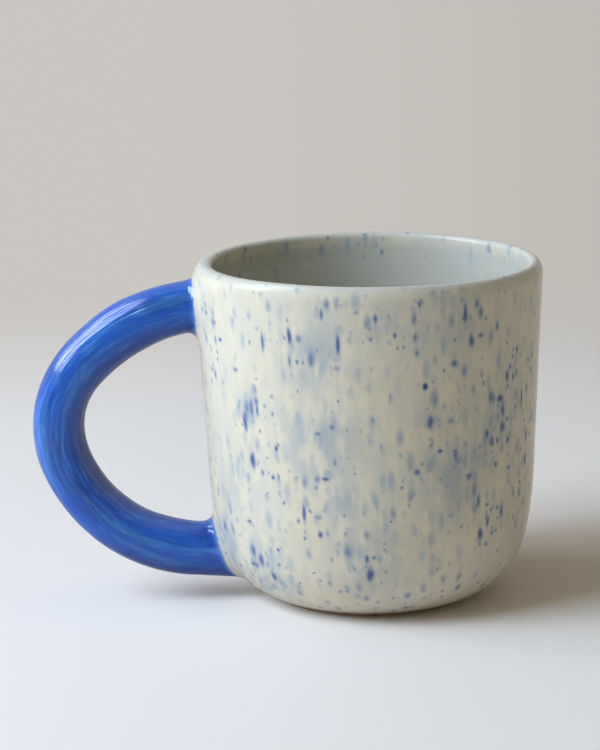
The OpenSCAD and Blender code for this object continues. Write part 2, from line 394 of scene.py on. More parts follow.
# Drips that stand out on the side in front
MAIN_DRIPS = (
    (16, 82, 0.7, 1.2, 0.6), (-15, 80, 0.6, 1.4, 0.6), (2, 79, 0.8, 1.5, 0.6), (32, 78, 1.4, 0.9, 0.7),
    (-10, 73, 0.7, 3.0, 0.8), (-19, 69, 1.3, 2.6, 0.6), (28, 67, 1.3, 1.0, 0.7), (18, 62, 0.8, 0.9, 1.0),
    (48, 56, 1.5, 1.0, 0.9), (-43, 55, 0.9, 3.0, 0.6), (-46, 53, 1.1, 1.4, 0.6), (20, 53, 1.5, 2.0, 0.7),
    (42, 48, 1.5, 1.3, 0.7), (-18, 25, 0.7, 0.9, 0.8), (-2, 19, 0.7, 1.4, 0.7), (-48, 18, 1.3, 2.4, 0.7),
    (-48, 14, 1.5, 1.2, 0.7), (-40, 12, 1.2, 1.5, 0.7),
)
# The lesser drips: how many there are with the main ones, their seed, where they lie, the wall's radius there
DRIP_COUNT = 81
DRIP_SEED = 4
DRIP_TURNS = (-68, 68)
DRIP_HEIGHTS = (8, 82)
DRIP_WALL = 42 * MM
# Places where the pigment has washed out into pale runs: angle, height, reach, strength
WASHES = (
    (-18, 70, 9, 0.8), (-17, 49, 10, 0.9), (28, 39, 8, 0.9), (46, 51, 8, 0.5), (20, 53, 4, 0.7),
    (-45, 14, 8, 1.0), (-66, 17, 7, 0.9), (0, 20, 9, 0.6), (-44, 54, 4, 1.0), (4, 78, 4, 0.6),
    (30, 78, 9, 0.4), (-10, 34, 5, 0.8), (-55, 33, 9, 0.4), (40, 43, 5, 0.6),
)
# Places where small crisp specks gather
GRIT = (
    (48, 50, 9, 1.0), (62, 38, 9, 1.0), (46, 26, 7, 0.6), (36, 62, 6, 0.7), (30, 77, 9, 0.7),
    (58, 62, 9, 0.85), (70, 50, 9, 0.9), (22, 53, 4, 1.0), (-46, 14, 7, 0.9), (-78, 36, 9, 0.6),
    (-62, 22, 7, 0.6), (14, 8, 9, 0.4), (-20, 9, 9, 0.5),
)
# Lean of the runs round the cup as they go down
RUN_LEAN = 0.03


def within_half_turn(turn):
    return (turn + math.pi) % (2 * math.pi) - math.pi


def front_angle(p):
    """Angle about the axis from the front, in degrees"""
    return math.degrees(within_half_turn(math.atan2(p.y, p.x) - FRONT))


def wall_point(turn, z, wide):
    """A point at an angle from the front in degrees, a height and a distance from the axis"""
    heading = FRONT + math.radians(turn)
    return Vector((wide * math.cos(heading), wide * math.sin(heading), z))


def gathered(p, places):
    """Strength of the places on a point of the wall"""
    turn, total = front_angle(p), 0
    wide = math.hypot(p.x, p.y)
    for place, z, reach, strength in places:
        across = math.radians(turn - place) * wide
        total = max(total, strength * math.exp(-(across**2 + (p.z - z * MM) ** 2) / (reach * MM) ** 2))
    return total


def scattered_drips():
    """The main drips and lesser ones by chance, thicker where pigment gathers"""
    chance = random.Random(DRIP_SEED)
    drips = [Drip(*row) for row in MAIN_DRIPS]
    while len(drips) < DRIP_COUNT:
        turn, z = chance.uniform(*DRIP_TURNS), chance.uniform(*DRIP_HEIGHTS)
        p = wall_point(turn, z * MM, DRIP_WALL)
        if chance.random() < 0.25 + max(gathered(p, WASHES), gathered(p, GRIT)):
            wide = 0.6 + 0.9 * chance.random() ** 1.5
            tall = 0.6 + 2.4 * chance.random() ** 2
            dark = 0.5 + 0.4 * chance.random() ** 2
            drips.append(Drip(turn, z, wide, tall, dark))
    return drips


DRIPS = scattered_drips()
# Where fine specks gather about the drips: angle, height, reach, strength
DRIP_PLACES = [(d.turn, d.z, 2.0 + 1.5 * max(d.wide, d.tall), 0.7 * d.dark) for d in DRIPS]


def front_share(p):
    """1 on the side in front, falling to 0 behind"""
    return held((105 - abs(front_angle(p))) / 30)


def by_chance(p, reach, seed):
    """Strength of pigment on a point behind, where no places are set"""
    return (1 - front_share(p)) * held(wander(p, reach, seed) * 1.3 + 0.2)


def run_place(p):
    """A point turned about the axis by its height, so that the runs lean"""
    wide = max(math.hypot(p.x, p.y), 10 * MM)
    return Matrix.Rotation(RUN_LEAN * p.z / wide, 3, "Z") @ p


# Meshes and objects

def mark_sharp(bm, limit):
    """Keeps edges crisp that turn more than the limit"""
    for edge in bm.edges:
        edge.smooth = edge.calc_face_angle(0) < limit
    for face in bm.faces:
        face.smooth = True


def glaze_attributes(bm, share=lambda v: 1.0):
    """What the speckled glazes read on a mesh: the runs' place and how much pigment of each kind there is"""
    run = bm.verts.layers.float_vector.new("run")
    specks = bm.verts.layers.float.new("specks")
    blots = bm.verts.layers.float.new("blots")
    wash = bm.verts.layers.float.new("wash")
    for v in bm.verts:
        part = share(v)
        v[run] = run_place(v.co)
        near = max(gathered(v.co, DRIP_PLACES), gathered(v.co, GRIT))
        v[specks] = part * (0.14 + 0.86 * (near + by_chance(v.co, 13 * MM, 5)))
        v[blots] = part * by_chance(v.co, 13 * MM, 5)
        v[wash] = part * (0.18 + 0.82 * (gathered(v.co, WASHES) + by_chance(v.co, 16 * MM, 8)))


def drip_centre(lines, drip):
    z = drip.z * MM
    return wall_point(drip.turn, z, lines.wall_radius(z))


def drip_offset(p, centre):
    """How far a point lies from a drip's middle, across the lean of its run and up"""
    turn = within_half_turn(math.atan2(p.y, p.x) - math.atan2(centre.y, centre.x))
    rise = p.z - centre.z
    return turn * math.hypot(p.x, p.y) + RUN_LEAN * rise, rise


def drip_neighbours(bm, lines, skin, margin):
    """Each drip, its middle and the skin's vertices about it"""
    verts = [v for v in bm.verts if v[skin] > 0.5]
    tree = kdtree.KDTree(len(verts))
    for i, v in enumerate(verts):
        tree.insert(v.co, i)
    tree.balance()
    for drip in DRIPS:
        centre = drip_centre(lines, drip)
        reach = 2.6 * MM * max(0.8 * drip.wide, drip.tall) + margin
        yield drip, centre, [verts[i] for co, i, d in tree.find_range(centre, reach)]


def refine_drips(bm, lines, skin):
    """Finer mesh where the drips lie, brought back onto the wall's line"""
    near = set()
    margin = 1.4 * MM
    for drip, centre, verts in drip_neighbours(bm, lines, skin, margin):
        wide = 1.8 * MM * drip.wide + margin
        near.update(v for v in verts if abs(drip_offset(v.co, centre)[0]) < wide)
    edges = [e for e in bm.edges if e.verts[0] in near and e.verts[1] in near]
    bmesh.ops.subdivide_edges(bm, edges=edges, cuts=3, use_grid_fill=True)
    for v in bm.verts:
        wide = lines.wall_radius(v.co.z)
        if v[skin] > 0.5 and v.co.z < lines.lip_out.y and v.co.xy.length > wide - 1 * MM:
            v.co.xy *= wide / v.co.xy.length
    bm.normal_update()


def ink_drips(bm, lines, skin):
    """Strength of the drips' pigment on the skin"""
    ink = bm.verts.layers.float.new("ink")
    for drip, centre, verts in drip_neighbours(bm, lines, skin, 0):
        for v in verts:
            across, rise = drip_offset(v.co, centre)
            away = math.hypot(across / (0.8 * MM * drip.wide), rise / (0.95 * MM * drip.tall))
            tall = Vector((v.co.x, v.co.y, 0.4 * v.co.z))
            away *= 1 + 0.35 * wander(tall, 1.0 * MM, 6)
            broken = max(0, drip.wide - 1.0) * (0.5 + wander(tall, 0.75 * MM, 9))
            body = drip.dark * (1 - smooth((away - 0.1) / 1.35)) * (1 - min(0.8, max(0, broken)))
            tail = math.hypot(across / (1.25 * MM * drip.wide), rise / (2.6 * MM * drip.tall))
            tail = 0.2 * drip.dark * (1 - smooth(tail * (1 + 0.5 * wander(tall, 1.4 * MM, 4))))
            v[ink] = max(v[ink], body, tail)


def add_object(name, data):
    thing = bpy.data.objects.new(name, data)
    bpy.context.scene.collection.objects.link(thing)
    return thing


def add_mesh(name, bm, material):
    """Turns a finished bmesh into an object"""
    mesh = bpy.data.meshes.new(name)
    bm.to_mesh(mesh)
    bm.free()
    mesh.materials.append(material)
    return add_object(name, mesh)


def make_piece(name, bm, material, slot, *nodes):
    """Turns a finished bmesh into a piece that stands for CAD nodes"""
    mark_sharp(bm, math.radians(50))
    piece = add_mesh(name, bm, material)
    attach(piece, BODY)
    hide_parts(*nodes)


def turned(points, segments, skin_count):
    """Spins a closed line of radius and height about the axis; its first points are the skin"""
    bm = bmesh.new()
    skin = bm.verts.layers.float.new("skin")
    ring = [bm.verts.new((p.x, 0, p.y)) for p in points]
    for v in ring[:skin_count]:
        v[skin] = 1
    ends = list(zip(ring, ring[1:]))
    if points[-1].x > 0 or points[0].x > 0:
        ends.append((ring[-1], ring[0]))
    edges = [bm.edges.new(pair) for pair in ends]
    about = {"cent": (0, 0, 0), "axis": (0, 0, 1), "angle": 2 * math.pi}
    bmesh.ops.spin(bm, geom=ring + edges, steps=segments, use_merge=True, **about)
    bmesh.ops.remove_doubles(bm, verts=bm.verts, dist=1e-7)
    bmesh.ops.recalc_face_normals(bm, faces=bm.faces)
    bm.normal_update()
    return bm, skin


def loft(sides, rings):
    """Extrudes a circle from ring to ring and closes the last on the first.
    Each ring gives a vertex's place, its share of blue and its place along the handle from its turn."""
    bm = bmesh.new()
    turn = bm.verts.layers.float.new("turn")
    blue = bm.verts.layers.float.new("blue")
    along = bm.verts.layers.float_vector.new("along")
    verts = bmesh.ops.create_circle(bm, segments=sides, radius=1)["verts"]
    for v in verts:
        v[turn] = math.atan2(v.co.y, v.co.x)
    loop = first = bm.edges[:]
    for number, ring in enumerate(rings):
        if number:
            grown = bmesh.ops.extrude_edge_only(bm, edges=loop)["geom"]
            verts = [g for g in grown if isinstance(g, bmesh.types.BMVert)]
            new = set(verts)
            loop = [e for e in grown if isinstance(e, bmesh.types.BMEdge) and new.issuperset(e.verts)]
        for v in verts:
            v.co, v[blue], v[along] = ring(v[turn])
    bmesh.ops.bridge_loops(bm, edges=first + loop)
    bmesh.ops.recalc_face_normals(bm, faces=bm.faces)
    bm.normal_update()
    return bm


# Shader trees

class Tree:
    """Places nodes in a shader tree and joins them"""

    def __init__(self, tree):
        self.tree = tree

    def node(self, kind, inputs=None, **settings):
        node = self.tree.nodes.new(kind)
        for key, value in settings.items():
            setattr(node, key, value)
        self.fill(node, inputs or {})
        return node

    def fill(self, node, inputs):
        """Sets a node's inputs, or joins them to the sockets given"""
        for key, value in inputs.items():
            socket = node.inputs[key]
            if isinstance(value, bpy.types.NodeSocket):
                self.tree.links.new(value, socket)
            else:
                socket.default_value = value

    def math(self, operation, a, b=0.0, clamp=False):
        node = self.node("ShaderNodeMath", {0: a, 1: b}, operation=operation, use_clamp=clamp)
        return node.outputs[0]

    def scale(self, vector, by):
        return self.node("ShaderNodeVectorMath", {0: vector, 1: by}, operation="MULTIPLY").outputs[0]

    def shift(self, vector, by):
        return self.node("ShaderNodeVectorMath", {0: vector, 1: by}, operation="ADD").outputs[0]

    def dot(self, a, b):
        return self.node("ShaderNodeVectorMath", {0: a, 1: b}, operation="DOT_PRODUCT").outputs["Value"]

    def millimetres(self, vector):
        return self.scale(vector, (1 / MM, 1 / MM, 1 / MM))

    def times(self, a, b):
        return self.math("MULTIPLY", a, b)

    def weighted(self, a, weight_a, b, weight_b):
        return self.math("ADD", self.times(a, weight_a), self.times(b, weight_b))

    def noise(self, vector, scale, detail=2.0, roughness=0.5, out="Fac"):
        inputs = {"Vector": vector, "Scale": scale, "Detail": detail, "Roughness": roughness}
        return self.node("ShaderNodeTexNoise", inputs, noise_dimensions="3D").outputs[out]

    def stray(self, vector, scale, roughness, reach):
        """An offset that wanders to and fro, by half the reach at most"""
        cloud = self.noise(vector, scale, 2.0, roughness, "Color")
        return self.scale(self.shift(cloud, (-0.5, -0.5, -0.5)), reach)

    def voronoi(self, vector):
        return self.node("ShaderNodeTexVoronoi", {"Vector": vector, "Scale": 1.0}, voronoi_dimensions="3D")

    def ease(self, value, low, high):
        inputs = {"Value": value, 1: low, 2: high, 3: 0.0, 4: 1.0}
        return self.node("ShaderNodeMapRange", inputs, interpolation_type="SMOOTHSTEP").outputs[0]

    def span(self, value, low, high, to_low=0.0, to_high=1.0):
        inputs = {"Value": value, 1: low, 2: high, 3: to_low, 4: to_high}
        return self.node("ShaderNodeMapRange", inputs, clamp=True).outputs[0]

    def mix(self, share, a, b):
        return self.node("ShaderNodeMix", {0: share, 6: a, 7: b}, data_type="RGBA").outputs[2]

    def attribute(self, name, out="Fac"):
        return self.node("ShaderNodeAttribute", attribute_name=name).outputs[out]

    def group(self, group, inputs):
        return self.node("ShaderNodeGroup", inputs, node_tree=group).outputs


def built_once(name):
    """Hands out the shader group of that name, which is built the first time"""
    def keep(build):
        def group(*settings):
            return bpy.data.node_groups.get(name) or build(name, *settings)
        return group
    return keep


def new_group(name, inputs, outputs):
    """An empty shader group with named sockets; gives its tree, its inputs and its output node"""
    kinds = {"v": "NodeSocketVector", "f": "NodeSocketFloat", "c": "NodeSocketColor"}
    group = bpy.data.node_groups.new(name, "ShaderNodeTree")
    for socket, kind in inputs:
        group.interface.new_socket(name=socket, in_out="INPUT", socket_type=kinds[kind])
    for socket, kind in outputs:
        group.interface.new_socket(name=socket, in_out="OUTPUT", socket_type=kinds[kind])
    tree = Tree(group)
    given = tree.node("NodeGroupInput").outputs
    return tree, given, tree.node("NodeGroupOutput")


def rgba(c):
    return (c[0], c[1], c[2], 1.0)


# Attributes with the strength of each kind of pigment, and the group inputs that take them
PIGMENTS = {"Ink": "ink", "Specks": "specks", "Blots": "blots", "Wash": "wash"}


@built_once("Pigment Specks")
def speck_group(name):
    """Masks of pigment in a glaze: crisp specks, washed-out runs and broad smears"""
    tree, given, out = new_group(
        name,
        [("Place", "v")] + [(pigment, "f") for pigment in PIGMENTS],
        [("Ink", "f"), ("Runs", "f"), ("Smears", "f")],
    )
    place = tree.millimetres(given["Place"])
    offset = tree.stray(place, 0.55, 0.6, (0.9, 0.9, 1.1))
    warped = tree.shift(place, offset)
    washed = tree.shift(place, tree.scale(offset, (0.5, 0.5, 0.5)))

    def layer(density, size, presence, small, large, soft, faint, full):
        """Marks of a pigment: cell's width and height, share of cells, extent, softness and tone"""
        where = washed if density == "Wash" else warped
        cells = tree.voronoi(tree.scale(where, (1 / size[0], 1 / size[0], 1 / size[1])))
        chance = tree.node("ShaderNodeSeparateColor", {0: cells.outputs["Color"]}).outputs
        there = tree.math("LESS_THAN", chance[0], tree.times(given[density], presence))
        edge = tree.span(chance[1], 0, 1, small, large)
        mask = tree.ease(cells.outputs["Distance"], edge, tree.times(edge, soft))
        tone = tree.span(chance[2], 0, 1, faint, full)
        return tree.times(tree.times(mask, there), tone)

    blots = layer("Blots", (3.0, 5.2), 0.8, 0.28, 0.50, 0.2, 0.3, 0.9)
    dots = layer("Specks", (1.6, 2.2), 0.75, 0.34, 0.62, 0.0, 0.10, 0.65)
    dabs = layer("Specks", (2.3, 4.4), 0.88, 0.42, 0.74, 0.0, 0.12, 0.52)
    runs = layer("Wash", (2.3, 5.6), 1.0, 0.50, 0.84, 0.0, 0.35, 1.0)
    smear = tree.noise(tree.scale(washed, (0.30, 0.30, 0.13)), 1.0, 2.5, 0.5)
    smear = tree.times(tree.ease(smear, 0.30, 0.60), given["Wash"])
    ink = given["Ink"]
    for mask in (blots, dots, dabs):
        ink = tree.math("MAXIMUM", ink, mask)
    tree.fill(out, {"Ink": ink, "Runs": runs, "Smears": smear})
    return tree.tree


@built_once("Glaze Skin")
def skin_group(name):
    """Fired surface of a glaze: a faint orange peel and a gloss that varies"""
    tree, given, out = new_group(
        name, [("Place", "v"), ("Roughness", "f")], [("Height", "f"), ("Roughness", "f")]
    )
    place = tree.millimetres(given["Place"])
    peel = tree.noise(place, 0.45, 2.0, 0.45)
    broad = tree.noise(place, 0.12, 1.0, 0.4)
    height = tree.math("ADD", tree.times(peel, 0.35), broad)
    patch = tree.noise(place, 0.2, 3.0, 0.6)
    rough = tree.times(given["Roughness"], tree.span(patch, 0.25, 0.75, 0.75, 1.35))
    tree.fill(out, {"Height": height, "Roughness": rough})
    return tree.tree


@built_once("Speckled Cream")
def cream_group(name, glaze):
    """Speckled cream: a mottled pale glaze with pigment in it"""
    tree, given, out = new_group(
        name,
        [(pigment, "f") for pigment in PIGMENTS] + [("Place", "v"), ("Cream", "c"), ("Cool", "c")],
        [("Color", "c"), ("Pigment", "f")],
    )
    place = tree.millimetres(given["Place"])
    mottle = tree.noise(tree.scale(place, (1, 1, 0.45)), 0.11, 3.0, 0.6)
    base = tree.mix(tree.ease(mottle, 0.35, 0.68), given["Cream"], given["Cool"])
    masks = tree.group(speck_group(), {key: given[key] for key in ("Place", *PIGMENTS)})
    smears = tree.mix(tree.times(masks["Smears"], 0.95), base, rgba(glaze.smear))
    runs = tree.mix(tree.times(masks["Runs"], 0.8), smears, rgba(glaze.run))
    pale = tree.mix(tree.span(masks["Ink"], 0.0, 0.45), runs, rgba(glaze.speck_pale))
    deep = tree.mix(tree.span(masks["Ink"], 0.35, 0.95), pale, rgba(glaze.speck))
    tree.fill(out, {"Color": deep, "Pigment": masks["Ink"]})
    return tree.tree


@built_once("Brushed Cobalt")
def cobalt_group(name, glaze):
    """Brushed cobalt: streaks along the handle, pale where thin, deep where it pools, and darkened as painted
    shade on the loop's inner side and the underside
    """
    tree, given, out = new_group(name, [("Along", "v")], [("Color", "c"), ("Relief", "f")])
    place = tree.millimetres(given["Along"])
    warped = tree.shift(place, tree.stray(place, 0.12, 0.5, (5, 1.3, 1.3)))

    def strokes(where, along, across, detail=2.0, roughness=0.5):
        """Marks of the brush, by how many there are to a millimetre"""
        return tree.noise(tree.scale(where, (along, across, across)), 1.0, detail, roughness)

    streak = strokes(warped, 0.024, 0.45, 4.0, 0.6)
    pools = strokes(warped, 0.06, 0.22, 3.0, 0.55)
    fine = strokes(warped, 0.22, 1.5)
    ridges = strokes(place, 0.022, 0.46)
    bristles = strokes(place, 0.05, 1.25)
    thin = tree.weighted(streak, 0.65, fine, 0.22)
    pale = tree.mix(tree.ease(thin, 0.40, 0.53), rgba(glaze.cobalt), rgba(glaze.cobalt_thin_and_seam_sheen))
    spot = tree.node("ShaderNodeSeparateXYZ", {0: warped}).outputs
    # Painted shade: the loop's inner side and the lower arm's underside are darkened towards the deep cobalt,
    # over the random pools of glaze
    loop_side_shade = tree.times(tree.ease(tree.times(spot["Y"], -1.0), 0.5, 6.0), tree.ease(spot["X"], 84, 68))
    underside_shade = tree.times(tree.ease(spot["X"], 76, 94), tree.ease(spot["Y"], 0.5, 5.5))
    pools_and_shade = tree.times(tree.ease(pools, 0.44, 0.66), 0.42)
    for side in (loop_side_shade, underside_shade):
        pools_and_shade = tree.math("MAXIMUM", pools_and_shade, tree.times(side, 0.75))
    deep = tree.mix(pools_and_shade, pale, rgba(glaze.cobalt_pool_and_shade))
    relief = tree.math("ADD", tree.weighted(ridges, 2.2, bristles, 2.6), thin)
    tree.fill(out, {"Color": deep, "Relief": relief})
    return tree.tree


def new_material(name):
    """A material with one Principled shader; gives it, its tree and the shader"""
    material = bpy.data.materials.new(name)
    material.use_nodes = True
    tree = Tree(material.node_tree)
    return material, tree, material.node_tree.nodes["Principled BSDF"]


def finish_glaze(tree, shader, place, roughness, colour_socket, relief, depth):
    """Joins colour, gloss and relief to a glaze's shader"""
    skin = tree.group(skin_group(), {"Place": place, "Roughness": roughness})
    height = tree.math("ADD", skin["Height"], relief)
    bump = tree.node("ShaderNodeBump", {"Height": height, "Distance": depth, "Strength": 1.0})
    tree.fill(shader, {
        "Base Color": colour_socket, "Roughness": skin["Roughness"], "Normal": bump.outputs["Normal"],
    })


def speckled_cream(tree, glaze, cream, cool):
    """Speckled cream by a mesh's attributes; gives its place, its colour and its relief"""
    place = tree.attribute("run", "Vector")
    pigments = {key: tree.attribute(name) for key, name in PIGMENTS.items()}
    out = tree.group(cream_group(glaze), {"Place": place, "Cream": cream, "Cool": cool, **pigments})
    return place, out["Color"], tree.times(out["Pigment"], 0.25)


def speckled_material(glaze):
    material, tree, shader = new_material("speckled_glaze")
    inside = tree.attribute("inside")
    lip = tree.attribute("lip")

    # Towards the crest the outside coat takes the lip's colour, a painted sheen and painted shade
    def tone(outside, within):
        return tree.mix(inside, tree.mix(lip, rgba(outside), rgba(glaze.lip_sheen_and_shade)), rgba(within))

    cream, cool = tone(glaze.cream, glaze.liner), tone(glaze.cream_cool, glaze.liner_cool)
    place, shade, relief = speckled_cream(tree, glaze, cream, cool)
    gloss = tree.span(lip, 0.0, 1.0, glaze.gloss, 1.6 * glaze.gloss)
    shader.inputs["IOR"].default_value = glaze.cream_ior
    finish_glaze(tree, shader, place, gloss, shade, relief, GLAZE_RELIEF)
    return material


def liner_material(glaze):
    material, tree, shader = new_material("liner_glaze")
    place, shade, relief = speckled_cream(tree, glaze, rgba(glaze.liner), rgba(glaze.liner_cool))
    finish_glaze(tree, shader, place, glaze.gloss, shade, relief, GLAZE_RELIEF)
    return material


def cobalt_material(glaze):
    material, tree, shader = new_material("cobalt_glaze")
    place = tree.attribute("along", "Vector")
    cobalt = tree.group(cobalt_group(glaze), {"Along": place})
    shader.inputs["IOR"].default_value = glaze.cobalt_ior
    finish_glaze(tree, shader, place, 0.85 * glaze.gloss, cobalt["Color"], cobalt["Relief"], BRUSH_RELIEF)
    return material


def joint_material(glaze):
    material, tree, shader = new_material("joint_glaze")
    place, shade, relief = speckled_cream(tree, glaze, rgba(glaze.cream), rgba(glaze.cream_cool))
    cobalt = tree.group(cobalt_group(glaze), {"Along": tree.attribute("along", "Vector")})
    ragged = tree.noise(tree.millimetres(place), 0.7, 2.0, 0.6)
    edge = tree.math("ADD", tree.attribute("blue"), tree.span(ragged, 0.2, 0.8, -0.16, 0.16))
    tint = tree.mix(tree.ease(edge, 0.05, 0.5), shade, rgba(glaze.speck_pale))
    blue = tree.ease(edge, 0.42, 0.62)
    # Painted reflection: the blue is paler along the seam, standing in for the window mirrored in the fillet
    seam_sheen = tree.times(tree.ease(edge, 1.05, 0.6), 0.8)
    both = tree.mix(blue, tint, tree.mix(seam_sheen, cobalt["Color"], rgba(glaze.cobalt_thin_and_seam_sheen)))
    shader.inputs["IOR"].default_value = glaze.cobalt_ior
    finish_glaze(tree, shader, place, glaze.gloss, both, relief, GLAZE_RELIEF)
    return material


def clay_material(glaze):
    material, tree, shader = new_material("bare_stoneware")
    place = tree.millimetres(tree.node("ShaderNodeTexCoord").outputs["Object"])
    grain = tree.noise(place, 2.2, 4.0, 0.65)
    toast = tree.noise(place, 0.12, 2.0, 0.5)
    warm = tree.mix(tree.ease(toast, 0.3, 0.7), rgba(glaze.clay), rgba([0.8 * c for c in glaze.clay]))
    shade = tree.mix(tree.ease(grain, 0.55, 0.75), warm, rgba(glaze.clay_dark))
    rough = tree.span(grain, 0.2, 0.8, 0.7, 0.9)
    bump = tree.node("ShaderNodeBump", {"Height": grain, "Distance": CLAY_RELIEF, "Strength": 0.8})
    tree.fill(shader, {"Base Color": shade, "Roughness": rough, "Normal": bump.outputs["Normal"]})
    return material


# Pieces

class MUG_OT_clay(bpy.types.Operator):
    """Gives the bare clay of the cup and the coil its fired finish"""

    bl_idname = "mug.clay"
    bl_label = "Clay"

    def execute(self, context):
        material = clay_material(context.scene.mug_glaze)
        for name in ("clay_body", "handle_coil"):
            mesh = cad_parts[name].data
            mesh.materials.clear()
            mesh.materials.append(material)
        return {"FINISHED"}


class MUG_OT_cup_coat(bpy.types.Operator):
    """Turns the speckled coat of the outside and the lip"""

    bl_idname = "mug.cup_coat"
    bl_label = "Cup Coat"

    def execute(self, context):
        cup = context.scene.mug_cup
        lines = CupLines(cup)
        skin_line = lines.outside(0, SKIN_GAP)
        clay_line = lines.outside(cup.glaze, CLAY_GAP)
        bm, skin = turned(skin_line + clay_line[::-1], cup.segments, len(skin_line))
        refine_drips(bm, lines, skin)
        ink_drips(bm, lines, skin)
        inside = bm.verts.layers.float.new("inside")
        lip_share = bm.verts.layers.float.new("lip")
        lip = lines.lip_in.x
        for v in bm.verts:
            if v.co.z > lines.lap_z - 1 * MM:
                within = smooth((lip - v.co.xy.length) / (0.8 * MM) + 0.5)
                v[inside] = within * smooth((cup.height - 0.5 * MM - v.co.z) / (4 * MM))
            if v[skin] > 0.5:
                rings = cup.ring_depth + (cup.ring_depth_inside - cup.ring_depth) * v[inside]
                v.co += thrown(cup, v.co, rings) * v.normal
            # Share of the lip: where the lip's painted sheen and shade lie, the gloss is rougher and the
            # pigment thinner
            v[lip_share] = smooth((v.co.z - cup.height) / (2.4 * MM) + 1)
            stray(lines, v.co)
        glaze_attributes(bm, lambda v: (1 - 0.6 * v[lip_share]) * (1 - 0.75 * v[inside]))
        material = speckled_material(context.scene.mug_glaze)
        make_piece("cup_coat", bm, material, "speckled_glaze", "outer_glaze")
        return {"FINISHED"}


class MUG_OT_cup_liner(bpy.types.Operator):
    """Turns the coat inside the cup"""

    bl_idname = "mug.cup_liner"
    bl_label = "Cup Liner"

    def execute(self, context):
        cup = context.scene.mug_cup
        lines = CupLines(cup)
        skin_line = lines.inside(0, SKIN_GAP)
        clay_line = lines.inside(cup.glaze, CLAY_GAP)
        bm, skin = turned(skin_line + clay_line[::-1], cup.segments, len(skin_line))
        for v in bm.verts:
            if v[skin] > 0.5:
                v.co += thrown(cup, v.co, cup.ring_depth_inside) * v.normal
            stray(lines, v.co)
        glaze_attributes(bm, lambda v: 0.17)
        material = liner_material(context.scene.mug_glaze)
        make_piece("cup_liner", bm, material, "liner_glaze", "liner_glaze")
        return {"FINISHED"}


# How the rolled coil swells from round: distance along it, on the outside of the loop, on its inside
SWELLS = (
    (0, 0.0, 0.0), (9, 0.1, 0.1), (18, 0.4, 0.45), (30, -0.1, 0.45), (44, -0.12, 0.0), (58, -0.2, 0.25),
    (70, -0.12, 0.4), (84, 0.0, 0.55), (96, 0.1, 0.9), (104, 0.1, 0.7), (112, 0.1, 0.5),
)


def swell(s, turn):
    """How far the handle's skin stands off its round there"""
    outer, inner = between(SWELLS, s / MM)
    lean = math.cos(turn)
    return (outer if lean > 0 else inner) * lean * lean


def bar_ring(handle, s, inset):
    """A ring round the handle at a distance along its path"""
    place, heading = handle_place(s)
    centre = upright(place)
    out = upright(heading_vector(heading + math.pi / 2))

    def ring(turn):
        way = math.cos(turn) * out + math.sin(turn) * Vector((0, 1, 0))
        radius = handle.radius - inset
        if not inset:
            near = min(s - handle.upper_collar, handle_length() - handle.lower_collar - s)
            rough = handle.unevenness * smooth(near / (8 * MM))
            off = swell(s, turn) + rough * wander(centre + 0.6 * radius * way, 11 * MM, 2)
            radius += max(off, -DEEPEST_DIP)
        return centre + radius * way, 1.0, bar_place(handle, s, turn)

    return ring


def bar_place(handle, s, turn):
    """Place along and round the handle, for its brush marks"""
    return Vector((s, handle.radius * math.cos(turn), handle.radius * math.sin(turn)))


class MUG_OT_handle_coat(bpy.types.Operator):
    """Sweeps the cobalt coat along the handle, from joint to joint"""

    bl_idname = "mug.handle_coat"
    bl_label = "Handle Coat"

    def execute(self, context):
        handle = context.scene.mug_handle
        glaze = context.scene.mug_cup.glaze
        start, end = handle.upper_collar, handle_length() - handle.lower_collar
        count = math.ceil((end - start) / (1.1 * MM))
        stations = [start + (end - start) * i / count for i in range(count + 1)]
        skin = [bar_ring(handle, s, 0) for s in stations]
        coil = [bar_ring(handle, s, glaze) for s in stations[:0:-3] + stations[:1]]
        bm = loft(handle.sides, skin + coil)
        material = cobalt_material(context.scene.mug_glaze)
        make_piece("handle_coat", bm, material, "cobalt_glaze", "handle_glaze")
        return {"FINISHED"}


